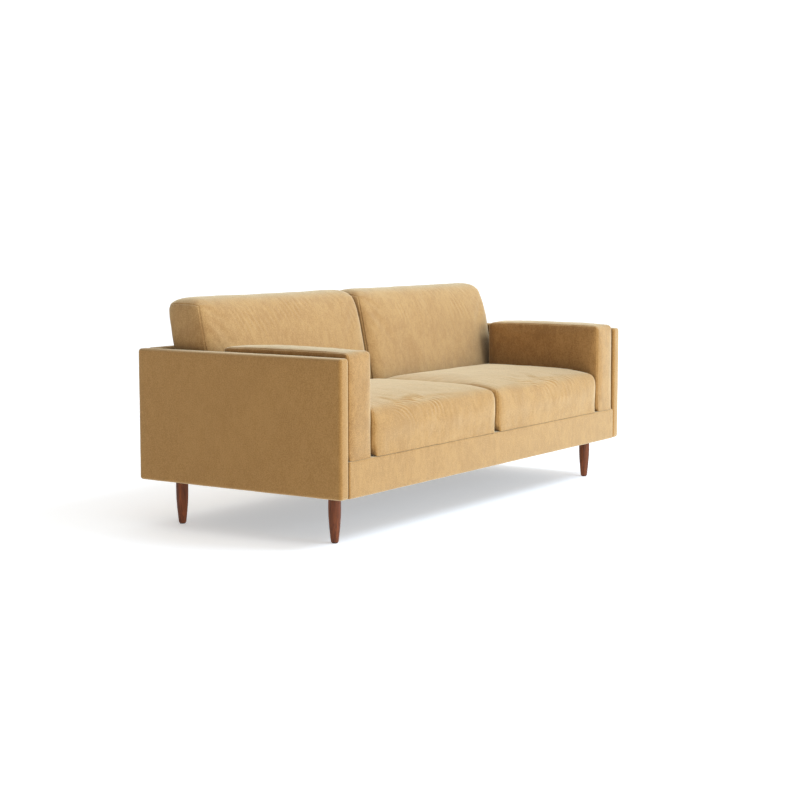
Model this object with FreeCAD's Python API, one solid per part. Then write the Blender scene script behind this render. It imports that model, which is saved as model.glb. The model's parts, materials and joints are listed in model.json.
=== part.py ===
import FreeCAD, Part
import math
import os

# Upholstered sofa with two seat cushions, two back cushions, two loose arm pads and four
# turned wooden legs.  Millimetres.  +Z is up, +X is to the right seen from the front and
# +Y is to the rear.  The origin is on the floor under the middle of the sofa.

V = FreeCAD.Vector
X_AXIS, Y_AXIS, Z_AXIS = V(1, 0, 0), V(0, 1, 0), V(0, 0, 1)
SIDES = {"left": -1, "right": 1}
ENDS = {"front": -1, "rear": 1}

# Overall size
WIDTH = 2134.0
DEPTH = 929.0
UNDERSIDE = 173.0  # floor to the bottom of the upholstered body
PANEL_TOP = 664.0  # top of the arm panels and the back panel
DECK = 304.5  # top of the front rail and of the deck cloth
BACK_TOP = 857.0  # highest point of the back cushions
PANEL = 50.0  # thickness of the arm panels, the back panel and the front rail
RECLINE = math.radians(11.5)  # lean of the inside back and the back cushions

# Upholstery layers
CLOTH = 2.0
PADDING = 9.0
SKIN = CLOTH + PADDING
FIT = 0.5  # gap between neighbouring upholstered panels
REST = 0.3  # gap under the loose cushions
PANEL_ROUND = 10.0

# Half sizes used all over
HALF_W = WIDTH / 2
HALF_D = DEPTH / 2
INNER_X = HALF_W - PANEL  # inner face of an arm panel
FRONT_INNER = PANEL - HALF_D  # rear face of the front rail
BACK_INNER = HALF_D - PANEL  # front face of the back panel
FIELD_X = INNER_X - FIT  # half width of everything between the arm panels
SEAT_BASE = DECK + REST

# Wooden frame
POST_WIDTH = 70.0
BOTTOM_RAIL_TOP = 295.0
TOP_RAIL_BOTTOM = 593.0
SIDE_RAIL = 30.0
SEAT_FRAME_TOP = 291.0
SEAT_FRAME_BOTTOM = 176.0
CROSS_RAIL_X = (-340.0, 340.0)
CROSS_RAIL_TOP = 256.0
REAR_RAIL = (290.0, 330.0)
BLOCK_LENGTH = 82.0
FRONT_BLOCK_DEPTH = 84.0
BLOCK_HEIGHT = 50.0
BLOCK_TOP = SEAT_FRAME_BOTTOM + BLOCK_HEIGHT
BACK_POSTS = 4

# Springs and deck
SPRING_COUNT = 12
SPRING_PITCH = 152.0
SPRING_WIRE = 1.9  # radius
WIRE_FLATS = 8
SPRING_BEND = 17.0  # radius of each bend
SPRING_STRAIGHT = 22.0
SPRING_BENDS = 19
DECK_CLOTH = 1.5
DECK_REAR = 286.0
SPRING_Z = SEAT_FRAME_TOP - SPRING_WIRE - 0.5
CLIP_LENGTH = 14.0
CLIP_HALF_WIDTH = 7.0
CLIP_STEEL = 1.2
CLIP_PLAY = 0.2  # between the wire and its clip
CLIP_TAB = 16.0  # height of the part nailed to the rail
SPRING_START = FRONT_INNER + CLIP_LENGTH  # first straight run of every spring

# Inside back
LINE_BASE = 289.0  # where the back cushions' rear face meets the deck
LINING_TOP = 638.0
LINING_GAP = 0.5
BACK_PAD = 20.0
STRAP = 3.0
STRAP_HEIGHT = 50.0
STRAP_COUNT = 5
STRAP_LOW = 20.0  # lowest strap above the foot of the ribs
STRAP_HIGH = 10.0  # highest strap below the top of the ribs
RIB_X = (-1000.0, -340.0, 340.0, 1000.0)
RIB_WIDTH = 24.0
RIB_TOP = 620.0

# Legs, turned: each radius has the height at which the leg is that wide
LEG_X = 953.0
LEG_Y = 354.0
GLIDE = 3.0
GLIDE_RADIUS = 10.5
PLATE = 2.5
PLATE_SIDE = 60.0
DUST = 1.0
LEG_TOP = SEAT_FRAME_BOTTOM - DUST - PLATE
FOOT_RADIUS = 12.4
CHAMFER_RADIUS, CHAMFER_HEIGHT = 13.9, 5.2
TAPER_RADIUS, TAPER_HEIGHT = 18.6, 47.0
KNEE_RADIUS, KNEE_HEIGHT = 22.4, 97.0
SWELL_RADIUS, SWELL_HEIGHT = 23.1, 128.0

# Fasteners
BOLT_RADIUS = 4.0
NUT_RADIUS = 5.5
NUT_BARREL = 16.0
NUT_FLANGE = 1.5
LEG_BOLT_TOP = BLOCK_TOP - 4.0
LEG_BOLT_BOTTOM = 132.0
NUT_BOTTOM = BLOCK_TOP - NUT_BARREL
ARM_BOLT_Y = (-250.0, 0.0, 250.0)
ARM_BOLT_Z = 230.0
ARM_BOLT_HEAD = 5.0
ARM_BOLT_SHY = 6.0  # how far a bolt stops short of the arm frame's outer face
ARM_BOLT_REACH = SIDE_RAIL + FIT + PANEL - SKIN - ARM_BOLT_SHY
SOCKET_RADIUS = 2.5
SOCKET_DEPTH = 3.0

# Loose cushions
SEAT_FRONT = -464.0
CUSHION_REAR = 108.0
SEAT_HEIGHT = 507.0
SEAT_INNER, SEAT_OUTER = 2.0, 865.0
PAD_INNER, PAD_OUTER = 867.3, 1016.4
PAD_FRONT = -457.0
PAD_TOP = 688.0
BACK_INNER_X, BACK_OUTER_X = 3.5, 1010.0
BACK_FRONT_FOOT = 120.0
BACK_FRONT_HEAD = 236.0
BACK_HEEL = 30.0  # rounding of a back cushion's lower rear edge, where its zip lies
COVER = 2.5
WRAP = 18.0
CUSHION_MARGIN = 20.0
STRAIGHT = (0, 0, 0, 0)  # an outline with no swollen side
PAST = 1.0  # how far a cushion's outlines reach past each other, so that no faces coincide

# Cushion outlines: how far corners lie in from the cushion's limits, how far its sides
# swell, and the roundings of the corners in the order of the outline
SEAT_FOOT_SET, SEAT_FACE_SET = 18.0, 8.0
SEAT_REAR_DROP, SEAT_FRONT_DROP, SEAT_END_DROP = 15.0, 35.0, 20.0
SEAT_CROWN, SEAT_FACE_SWELL, SEAT_CROSS_CROWN = 24.0, 12.0, 30.0
SEAT_SIDE_ROUNDS = (20, 12, 24, 40)
SEAT_FRONT_ROUNDS = (34, 34, 44, 44)
SEAT_PLAN_ROUNDS = (34, 34, 24, 24)
SEAT_PLAN_FRONT, SEAT_PLAN_REAR = 8.0, 4.0
BACK_FACE_SWELL = 46.0
BACK_FRONT_ROUNDS = (26, 26, 40, 40)
BACK_PLAN_ROUNDS = (34, 34, 28, 28)
BACK_PLAN_FRONT, BACK_PLAN_REAR = 88.0, 6.0
BACK_SIDE_ROUNDS = (24, BACK_HEEL, 60, 44)
PAD_CROWN, PAD_FACE_SWELL = 6.0, 4.0
PAD_SIDE_ROUNDS = (18, 14, 34, 24)
PAD_FRONT_ROUNDS = (20, 20, 24, 24)
PAD_PLAN_ROUNDS = (24, 24, 30, 30)
PAD_PLAN_FRONT = 5.0

# Zips
ZIP_TAPE = 1.2
ZIP_WIDTH = 12.0
ZIP_TEETH = 5.0  # width of the row of teeth
ZIP_TEETH_HEIGHT = 1.0
ZIP_TEETH_END = 8.0  # tape left beyond the teeth
SLIDER_START, SLIDER_END = 10.0, 22.0
SLIDER_WIDTH = 8.0
SLIDER_HEIGHT = 2.4
SEAT_ZIP_Z = 400.0
SEAT_ZIP_END = 60.0  # from the cushion's end to the zip
BACK_ZIP_END = 120.0

NODES = {}


def span(first, second):
    """An ordered (low, high) pair, so that mirrored pieces can be given either way round."""
    return min(first, second), max(first, second)


def inset(limits, amount):
    return limits[0] + amount, limits[1] - amount


def tighter(radii, amount):
    """The roundings of a shape that lies the given distance inside another."""
    return [max(radius - amount, 3.0) for radius in radii]


def block(x, y, z):
    """A plain block from its (low, high) limits on each axis."""
    return Part.makeBox(x[1] - x[0], y[1] - y[0], z[1] - z[0], V(x[0], y[0], z[0]))


def soft_block(x, y, z, radius):
    """A block with all its edges rounded."""
    solid = block(x, y, z)
    return solid.makeFillet(radius, solid.Edges)


def rod(centre, axis, length, radius):
    return Part.makeCylinder(radius, length, centre, axis)


def group(solids):
    """Separate solids kept together in one node."""
    return Part.makeCompound(solids)


def drilled(shape, holes):
    return shape.cut(Part.makeCompound(holes)) if holes else shape


def bulged_edge(start, end, middle, bulge):
    """A side of a cushion's outline: straight, or an arc that swells away from the middle."""
    if bulge == 0:
        return Part.makeLine(start, end)
    half = (start + end) * 0.5
    along = (end - start).normalize()
    away = half - middle
    outward = (away - along * away.dot(along)).normalize()
    return Part.Arc(start, half + outward * bulge, end).toShape()


def swollen_prism(corners, bulges, radii, sweep):
    """A four-sided outline with swollen sides, swept along a vector, its long edges rounded.

    bulges[i] belongs to the side from corner i to the next, radii[i] to the edge at corner i.
    """
    middle = (corners[0] + corners[1] + corners[2] + corners[3]) * 0.25
    sides = []
    for i, bulge in enumerate(bulges):
        sides.append(bulged_edge(corners[i], corners[(i + 1) % 4], middle, bulge))
    solid = Part.Face(Part.Wire(sides)).extrude(sweep)
    for corner, radius in zip(corners, radii):
        target = corner + sweep * 0.5
        long_edges = [e for e in solid.Edges if e.CenterOfMass.distanceToPoint(target) < 0.01]
        solid = solid.makeFillet(radius, long_edges)
    return solid


def side_outline(corners, bulges, radii, x):
    """A prism from corners in the Y-Z plane, running across the sofa."""
    points = [V(x[0], y, z) for y, z in corners]
    return swollen_prism(points, bulges, radii, X_AXIS * (x[1] - x[0]))


def front_outline(corners, bulges, radii):
    """A prism from corners in the X-Z plane, running past every cushion front to rear."""
    start = SEAT_FRONT - CUSHION_MARGIN
    points = [V(x, start, z) for x, z in corners]
    return swollen_prism(points, bulges, radii, Y_AXIS * (HALF_D - start))


def top_outline(corners, radii, slope):
    """A prism from corners in the plane of the cushions' base, past their tops and bottoms."""
    points = [V(x, y, SEAT_BASE) - slope * CUSHION_MARGIN for x, y in corners]
    height = BACK_TOP - SEAT_BASE + 2 * CUSHION_MARGIN
    return swollen_prism(points, STRAIGHT, radii, slope * height)


def rectangle(first, second):
    """Corners in order: low-low, high-low, high-high, low-high."""
    return [
        (first[0], second[0]),
        (first[1], second[0]),
        (first[1], second[1]),
        (first[0], second[1]),
    ]


def lean(z, offset):
    """Y of the line that runs the given distance behind the back cushions' rear face."""
    return LINE_BASE + (z - SEAT_BASE) * math.tan(RECLINE) + offset / math.cos(RECLINE)


def sloped_slab(x, near, far, bottom, top):
    """A slab parallel to the back cushions' rear face, between two distances behind it."""
    outline = [
        V(x[0], lean(bottom, near), bottom),
        V(x[0], lean(bottom, far), bottom),
        V(x[0], lean(top, far), top),
        V(x[0], lean(top, near), top),
    ]
    face = Part.Face(Part.makePolygon(outline + outline[:1]))
    return face.extrude(X_AXIS * (x[1] - x[0]))


# Fasteners, and the holes they need -------------------------------------------------------


def arm_bolt_holes():
    """Shafts from the inside of the seat frame out into both arm frames."""
    holes = []
    for side in SIDES.values():
        for y in ARM_BOLT_Y:
            start = V(side * (FIELD_X - SIDE_RAIL), y, ARM_BOLT_Z)
            holes.append(rod(start, X_AXIS * side, ARM_BOLT_REACH, BOLT_RADIUS))
    return holes


def arm_bolts():
    bolts = []
    for side in SIDES.values():
        for y in ARM_BOLT_Y:
            face = V(side * (FIELD_X - SIDE_RAIL), y, ARM_BOLT_Z)
            head = rod(face, X_AXIS * -side, ARM_BOLT_HEAD, 2 * BOLT_RADIUS)
            mouth = face - X_AXIS * (side * ARM_BOLT_HEAD)
            socket = rod(mouth, X_AXIS * side, SOCKET_DEPTH, SOCKET_RADIUS)
            shaft = rod(face, X_AXIS * side, ARM_BOLT_REACH, BOLT_RADIUS)
            bolts.append(head.fuse(shaft).cut(socket).removeSplitter())
    return group(bolts)


def leg_places():
    return [(x * LEG_X, y * LEG_Y) for x in SIDES.values() for y in ENDS.values()]


def leg_bolt_holes():
    length = LEG_BOLT_TOP - LEG_BOLT_BOTTOM
    return [rod(V(x, y, LEG_BOLT_BOTTOM), Z_AXIS, length, BOLT_RADIUS) for x, y in leg_places()]


def leg_nut_holes():
    """Where the T-nut barrels sit, with the bolt's own way below them."""
    holes = leg_bolt_holes()
    for x, y in leg_places():
        holes.append(rod(V(x, y, NUT_BOTTOM), Z_AXIS, NUT_BARREL, NUT_RADIUS))
    return holes


def t_nuts():
    nuts = []
    for x, y in leg_places():
        barrel = rod(V(x, y, NUT_BOTTOM), Z_AXIS, NUT_BARREL, NUT_RADIUS)
        flange = rod(V(x, y, BLOCK_TOP), Z_AXIS, NUT_FLANGE, 2 * NUT_RADIUS)
        bore = rod(V(x, y, NUT_BOTTOM), Z_AXIS, NUT_BARREL + NUT_FLANGE, BOLT_RADIUS)
        nuts.append(barrel.fuse(flange).cut(bore).removeSplitter())
    return group(nuts)


# Arms, front rail and back ----------------------------------------------------------------


def upholstered_panel(x, y, z):
    """Cover, padding and the limits of the wood inside a closed upholstered panel."""
    inner = [inset(limits, CLOTH) for limits in (x, y, z)]
    wood = [inset(limits, SKIN) for limits in (x, y, z)]
    wood[2] = (z[0] + CLOTH, z[1] - SKIN)
    filling = soft_block(*inner, PANEL_ROUND - CLOTH)
    cover = soft_block(x, y, z, PANEL_ROUND).cut(filling)
    padding = filling.cut(block(*wood))
    return cover, padding, wood


def add_arm(name, side):
    """One arm: a full-depth upholstered panel round a frame of two posts and two rails."""
    x = span(side * INNER_X, side * HALF_W)
    y = (-HALF_D, HALF_D)
    cover, padding, wood = upholstered_panel(x, y, (UNDERSIDE, PANEL_TOP))
    wood_x, wood_y, wood_z = wood
    front_end = wood_y[0] + POST_WIDTH
    rear_end = wood_y[1] - POST_WIDTH
    bolts = arm_bolt_holes()
    bottom_rail = block(wood_x, (front_end, rear_end), (wood_z[0], BOTTOM_RAIL_TOP))
    NODES[name + "_arm_cover"] = drilled(cover, bolts)
    NODES[name + "_arm_padding"] = drilled(padding, bolts)
    NODES[name + "_arm_front_post"] = block(wood_x, (wood_y[0], front_end), wood_z)
    NODES[name + "_arm_rear_post"] = block(wood_x, (rear_end, wood_y[1]), wood_z)
    NODES[name + "_arm_top_rail"] = block(
        wood_x, (front_end, rear_end), (TOP_RAIL_BOTTOM, wood_z[1])
    )
    NODES[name + "_arm_bottom_rail"] = drilled(bottom_rail, bolts)


def add_back():
    """The outside back: an upholstered panel between the arms round posts and rails."""
    x = (-FIELD_X, FIELD_X)
    y = (BACK_INNER, HALF_D)
    cover, padding, wood = upholstered_panel(x, y, (UNDERSIDE, PANEL_TOP))
    wood_x, wood_y, wood_z = wood
    posts = []
    for i in range(BACK_POSTS):
        low = wood_x[0] + i * (wood_x[1] - wood_x[0] - POST_WIDTH) / (BACK_POSTS - 1)
        posts.append(block((low, low + POST_WIDTH), wood_y, (BOTTOM_RAIL_TOP, TOP_RAIL_BOTTOM)))
    NODES["back_cover"] = cover
    NODES["back_padding"] = padding
    NODES["back_bottom_rail"] = block(wood_x, wood_y, (wood_z[0], BOTTOM_RAIL_TOP))
    NODES["back_top_rail"] = block(wood_x, wood_y, (TOP_RAIL_BOTTOM, wood_z[1]))
    NODES["back_posts"] = group(posts)


def add_front_rail():
    """The front rail: a board with cloth and padding on all sides but the rear."""
    x = (-FIELD_X, FIELD_X)
    y = (-HALF_D, FRONT_INNER)
    z = (UNDERSIDE, DECK)
    past_rear = FRONT_INNER + PANEL  # the rear rounding is cut away with what is behind
    outer = soft_block(x, (y[0], past_rear), z, PANEL_ROUND)
    inner_y = (y[0] + CLOTH, past_rear + PANEL)
    inner = soft_block(inset(x, CLOTH), inner_y, inset(z, CLOTH), PANEL_ROUND - CLOTH)
    board = block(inset(x, SKIN), (y[0] + SKIN, y[1]), (z[0] + CLOTH, z[1] - SKIN))
    kept = block(x, y, z)
    NODES["front_rail_cover"] = outer.cut(inner).common(kept)
    NODES["front_rail_padding"] = inner.common(kept).cut(board)
    NODES["front_rail_board"] = board


def add_inside_back():
    """Ribs, webbing, foam and lining that the back cushions lean on."""
    foam = LINING_GAP + CLOTH
    webbing = foam + BACK_PAD
    ribs = webbing + STRAP
    x = (-FIELD_X, FIELD_X)
    bottom = SEAT_FRAME_TOP
    lining = sloped_slab(x, LINING_GAP, foam, bottom, LINING_TOP)
    top = block(x, (lean(LINING_TOP, LINING_GAP), BACK_INNER), (LINING_TOP - CLOTH, LINING_TOP))
    NODES["inside_back_lining"] = lining.fuse(top).removeSplitter()
    NODES["inside_back_pad"] = sloped_slab(x, foam, webbing, bottom, LINING_TOP - CLOTH)
    straps = []
    first = bottom + STRAP_LOW
    last = RIB_TOP - STRAP_HIGH - STRAP_HEIGHT
    for i in range(STRAP_COUNT):
        low = first + i * (last - first) / (STRAP_COUNT - 1)
        straps.append(sloped_slab(x, webbing, ribs, low, low + STRAP_HEIGHT))
    NODES["inside_back_webbing"] = group(straps)
    plates = []
    for middle in RIB_X:
        low = middle - RIB_WIDTH / 2
        outline = [
            V(low, lean(bottom, ribs), bottom),
            V(low, BACK_INNER, bottom),
            V(low, BACK_INNER, RIB_TOP),
            V(low, lean(RIB_TOP, ribs), RIB_TOP),
        ]
        face = Part.Face(Part.makePolygon(outline + outline[:1]))
        plates.append(face.extrude(X_AXIS * RIB_WIDTH))
    NODES["inside_back_ribs"] = group(plates)


# Seat frame, springs and deck -------------------------------------------------------------


def add_seat_frame():
    z = (SEAT_FRAME_BOTTOM, SEAT_FRAME_TOP)
    rail_inner = FIELD_X - SIDE_RAIL
    side_rails = []
    for side in SIDES.values():
        x = span(side * rail_inner, side * FIELD_X)
        side_rails.append(block(x, (FRONT_INNER, BACK_INNER), z))
    NODES["seat_side_rails"] = drilled(group(side_rails), arm_bolt_holes())
    NODES["seat_rear_rail"] = block((-rail_inner, rail_inner), REAR_RAIL, z)
    cross_rails = []
    for middle in CROSS_RAIL_X:
        x = (middle - RIB_WIDTH / 2, middle + RIB_WIDTH / 2)
        cross_rails.append(block(x, (FRONT_INNER, REAR_RAIL[0]), (z[0], CROSS_RAIL_TOP)))
    NODES["seat_cross_rails"] = group(cross_rails)
    blocks = []
    for side in SIDES.values():
        x = span(side * (rail_inner - BLOCK_LENGTH), side * rail_inner)
        for y in ((FRONT_INNER, FRONT_INNER + FRONT_BLOCK_DEPTH), (REAR_RAIL[1], BACK_INNER)):
            blocks.append(block(x, y, (SEAT_FRAME_BOTTOM, BLOCK_TOP)))
    NODES["corner_blocks"] = drilled(group(blocks), leg_nut_holes())


def spring_path(x):
    """Straight runs across, joined by half-round bends, stepping from front to rear."""
    half = SPRING_STRAIGHT / 2
    step = 2 * SPRING_BEND
    y = SPRING_START
    side = 1
    edges = [Part.makeLine(V(x - half, y, SPRING_Z), V(x + half, y, SPRING_Z))]
    for _ in range(SPRING_BENDS):
        edge_x = x + side * half
        bend = Part.Arc(
            V(edge_x, y, SPRING_Z),
            V(edge_x + side * SPRING_BEND, y + SPRING_BEND, SPRING_Z),
            V(edge_x, y + step, SPRING_Z),
        )
        y += step
        run_end = V(edge_x - side * SPRING_STRAIGHT, y, SPRING_Z)
        edges.append(bend.toShape())
        edges.append(Part.makeLine(V(edge_x, y, SPRING_Z), run_end))
        side = -side
    return Part.Wire(edges)


def spring(x):
    """One sinuous spring, its round wire given flats so that its mesh stays light."""
    path = spring_path(x)
    start = path.Edges[0].Vertexes[0].Point
    corners = []
    for i in range(WIRE_FLATS + 1):
        turn = math.tau * (i + 0.5) / WIRE_FLATS
        corners.append(start + V(0, math.cos(turn), math.sin(turn)) * SPRING_WIRE)
    return path.makePipe(Part.Face(Part.makePolygon(corners)))


def add_springs():
    springs, clips = [], []
    last_run = SPRING_START + SPRING_BENDS * 2 * SPRING_BEND
    for i in range(SPRING_COUNT):
        x = (i - (SPRING_COUNT - 1) / 2) * SPRING_PITCH
        springs.append(spring(x))
        clips.append(spring_clip(x, SPRING_START, FRONT_INNER))
        clips.append(spring_clip(x, last_run, REAR_RAIL[0]))
    NODES["seat_springs"] = group(springs)
    NODES["spring_clips"] = group(clips)


def spring_clip(x, wire_y, wall_y):
    """A bent steel strip round the end run of a spring, nailed to the rail beside it."""
    width = (x - CLIP_HALF_WIDTH, x + CLIP_HALF_WIDTH)
    clear = SPRING_WIRE + CLIP_PLAY
    toward = 1 if wall_y > wire_y else -1
    far = wire_y - toward * (clear + CLIP_STEEL)
    level = SPRING_Z - clear
    under = block(width, span(far, wall_y), (level - CLIP_STEEL, level))
    hook = block(width, span(far, far + toward * CLIP_STEEL), (level, SPRING_Z))
    tab = block(width, span(wall_y, wall_y - toward * CLIP_STEEL), (level - CLIP_TAB, level))
    return under.fuse(hook).fuse(tab).removeSplitter()


def add_deck():
    y = (FRONT_INNER, DECK_REAR)
    x = (-FIELD_X, FIELD_X)
    level = DECK - DECK_CLOTH
    NODES["deck_padding"] = block(x, y, (SEAT_FRAME_TOP, level))
    NODES["deck_cloth"] = block(x, y, (level, DECK))
    under = block(
        (-FIELD_X, FIELD_X),
        (FRONT_INNER, BACK_INNER),
        (SEAT_FRAME_BOTTOM - DUST, SEAT_FRAME_BOTTOM),
    )
    NODES["dust_cover"] = drilled(under, leg_bolt_holes())


# Legs -------------------------------------------------------------------------------------


def leg_profile():
    """Half outline of a leg, from its foot to its top and back along its axis."""
    foot = V(FOOT_RADIUS, 0, GLIDE)
    chamfer = V(CHAMFER_RADIUS, 0, CHAMFER_HEIGHT)
    knee = V(KNEE_RADIUS, 0, KNEE_HEIGHT)
    top = V(KNEE_RADIUS, 0, LEG_TOP)
    axis_low, axis_high = V(0, 0, GLIDE), V(0, 0, LEG_TOP)
    return [
        Part.makeLine(axis_low, foot),
        Part.makeLine(foot, chamfer),
        Part.Arc(chamfer, V(TAPER_RADIUS, 0, TAPER_HEIGHT), knee).toShape(),
        Part.Arc(knee, V(SWELL_RADIUS, 0, SWELL_HEIGHT), top).toShape(),
        Part.makeLine(top, axis_high),
        Part.makeLine(axis_high, axis_low),
    ]


def add_legs():
    outline = Part.Face(Part.Wire(leg_profile()))
    turned = outline.revolve(V(0, 0, 0), Z_AXIS, 360)
    for end, y in ENDS.items():
        for name, x in SIDES.items():
            leg = turned.translated(V(x * LEG_X, y * LEG_Y, 0))
            NODES["leg_" + end + "_" + name] = drilled(leg, leg_bolt_holes())
    glides, plates = [], []
    half = PLATE_SIDE / 2
    for x, y in leg_places():
        glides.append(rod(V(x, y, 0), Z_AXIS, GLIDE, GLIDE_RADIUS))
        plates.append(block((x - half, x + half), (y - half, y + half), (LEG_TOP, LEG_TOP + PLATE)))
    NODES["leg_glides"] = group(glides)
    NODES["leg_plates"] = drilled(group(plates), leg_bolt_holes())
    NODES["leg_bolts"] = group(leg_bolt_holes())
    NODES["t_nuts"] = t_nuts()


# Loose cushions, shaped on the left and mirrored to the right -------------------------------


def seat_cushion(t):
    """Crowned seat cushion; t is how far the shape lies inside the outer surface."""
    x = inset((-SEAT_OUTER, -SEAT_INNER), t)
    wide = inset(x, -PAST)
    low = SEAT_BASE + t
    high = SEAT_HEIGHT - t
    profile = [
        (SEAT_FRONT + SEAT_FOOT_SET + t, low),
        (CUSHION_REAR - t, low),
        (CUSHION_REAR - t, high - SEAT_REAR_DROP),
        (SEAT_FRONT + SEAT_FACE_SET + t, high - SEAT_FRONT_DROP),
    ]
    swells = (0, 0, SEAT_CROWN, SEAT_FACE_SWELL)
    side_view = side_outline(profile, swells, tighter(SEAT_SIDE_ROUNDS, t), x)
    front = rectangle(wide, (low - PAST, high - SEAT_END_DROP))
    swells = (0, 0, SEAT_CROSS_CROWN, 0)
    front_view = front_outline(front, swells, tighter(SEAT_FRONT_ROUNDS, t))
    plan = rectangle(wide, (SEAT_FRONT - SEAT_PLAN_FRONT + t, CUSHION_REAR + SEAT_PLAN_REAR - t))
    top_view = top_outline(plan, tighter(SEAT_PLAN_ROUNDS, t), Z_AXIS)
    return side_view.common(front_view).common(top_view)


def back_cushion(t):
    """Leaning back cushion with a swollen front and a rounded top."""
    x = inset((-BACK_OUTER_X, -BACK_INNER_X), t)
    wide = inset(x, -PAST)
    low = SEAT_BASE + t
    top = BACK_TOP - t
    shift = t / math.cos(RECLINE)
    profile = [
        (BACK_FRONT_FOOT + t, low),
        (lean(low, 0) - shift, low),
        (lean(top, 0) - shift, top),
        (BACK_FRONT_HEAD + t, top),
    ]
    swells = (0, 0, 0, BACK_FACE_SWELL)
    side_view = side_outline(profile, swells, tighter(BACK_SIDE_ROUNDS, t), x)
    front = rectangle(wide, (low - PAST, top + PAST))
    front_view = front_outline(front, STRAIGHT, tighter(BACK_FRONT_ROUNDS, t))
    plan = rectangle(wide, (BACK_PLAN_FRONT + t, LINE_BASE + BACK_PLAN_REAR - shift))
    slope = V(0, math.tan(RECLINE), 1)
    top_view = top_outline(plan, tighter(BACK_PLAN_ROUNDS, t), slope)
    return side_view.common(front_view).common(top_view)


def arm_pad(t):
    """Box cushion that stands inside an arm panel."""
    x = inset((-PAD_OUTER, -PAD_INNER), t)
    wide = inset(x, -PAST)
    low = SEAT_BASE + t
    profile = rectangle((PAD_FRONT + t, CUSHION_REAR - t), (low, PAD_TOP - PAD_CROWN - t))
    swells = (0, 0, PAD_CROWN, PAD_FACE_SWELL)
    side_view = side_outline(profile, swells, tighter(PAD_SIDE_ROUNDS, t), x)
    front = rectangle(wide, (low - PAST, PAD_TOP + PAST - t))
    front_view = front_outline(front, STRAIGHT, tighter(PAD_FRONT_ROUNDS, t))
    plan = rectangle(wide, (PAD_FRONT - PAD_PLAN_FRONT + t, CUSHION_REAR + PAST - t))
    top_view = top_outline(plan, tighter(PAD_PLAN_ROUNDS, t), Z_AXIS)
    return side_view.common(front_view).common(top_view)


def zip_on(face_y, x, z):
    """A closed zip on an upright rear face: tape, row of teeth, and the slider at one end."""
    face = face_y + ZIP_TAPE
    tape_z = inset((z, z), -ZIP_WIDTH / 2)
    teeth_z = inset((z, z), -ZIP_TEETH / 2)
    slider_z = inset((z, z), -SLIDER_WIDTH / 2)
    tape = block(x, (face_y, face), tape_z)
    teeth = block(inset(x, ZIP_TEETH_END), (face, face + ZIP_TEETH_HEIGHT), teeth_z)
    slider_x = (x[0] + SLIDER_START, x[0] + SLIDER_END)
    slider = block(slider_x, (face, face + SLIDER_HEIGHT), slider_z)
    return tape.fuse(teeth).fuse(slider).removeSplitter()


def heel_zip(x):
    """The same zip, turned to lie along a back cushion's rounded lower rear edge."""
    centre_z = SEAT_BASE + BACK_HEEL
    centre_y = lean(centre_z, 0) - BACK_HEEL / math.cos(RECLINE)
    outward = V(0, math.cos(RECLINE), -math.sin(RECLINE) - 1)
    strip = zip_on(BACK_HEEL, x, 0)
    strip.rotate(V(0, 0, 0), X_AXIS, math.degrees(math.atan2(outward.z, outward.y)))
    strip.translate(V(0, centre_y, centre_z))
    return strip


def add_cushions():
    seat = [seat_cushion(t) for t in (0, COVER, COVER + WRAP)]
    back = [back_cushion(t) for t in (0, COVER)]
    pad = [arm_pad(t) for t in (0, COVER)]
    seat_zip_x = inset((-SEAT_OUTER, -SEAT_INNER), SEAT_ZIP_END)
    back_zip_x = inset((-BACK_OUTER_X, -BACK_INNER_X), BACK_ZIP_END)
    left_pieces = {
        "seat_cover": seat[0].cut(seat[1]),
        "seat_wrap": seat[1].cut(seat[2]),
        "seat_core": seat[2],
        "seat_zip": zip_on(CUSHION_REAR, seat_zip_x, SEAT_ZIP_Z),
        "back_cushion_cover": back[0].cut(back[1]),
        "back_cushion_fill": back[1],
        "back_cushion_zip": heel_zip(back_zip_x),
        "arm_pad_cover": pad[0].cut(pad[1]),
        "arm_pad_core": pad[1],
    }
    for name, shape in left_pieces.items():
        NODES["left_" + name] = shape
        NODES["right_" + name] = shape.mirror(V(0, 0, 0), X_AXIS)


def main():
    for name, side in SIDES.items():
        add_arm(name, side)
    add_back()
    add_front_rail()
    add_inside_back()
    add_seat_frame()
    add_springs()
    add_deck()
    add_legs()
    NODES["arm_bolts"] = arm_bolts()
    add_cushions()
    os.makedirs("parts", exist_ok=True)
    for name, shape in NODES.items():
        shape.exportStep("parts/" + name + ".step")
        box = shape.optimalBoundingBox(False)
        limits = [round(v, 1) for v in (box.XMin, box.XMax, box.YMin, box.YMax, box.ZMin, box.ZMax)]
        print(name, "valid" if shape.isValid() else "INVALID", len(shape.Solids), limits)
    print(len(NODES), "nodes")


main()
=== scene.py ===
import json
import math

import bmesh
import bpy
import numpy as np
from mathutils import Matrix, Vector, noise
from mathutils.bvhtree import BVHTree


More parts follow.
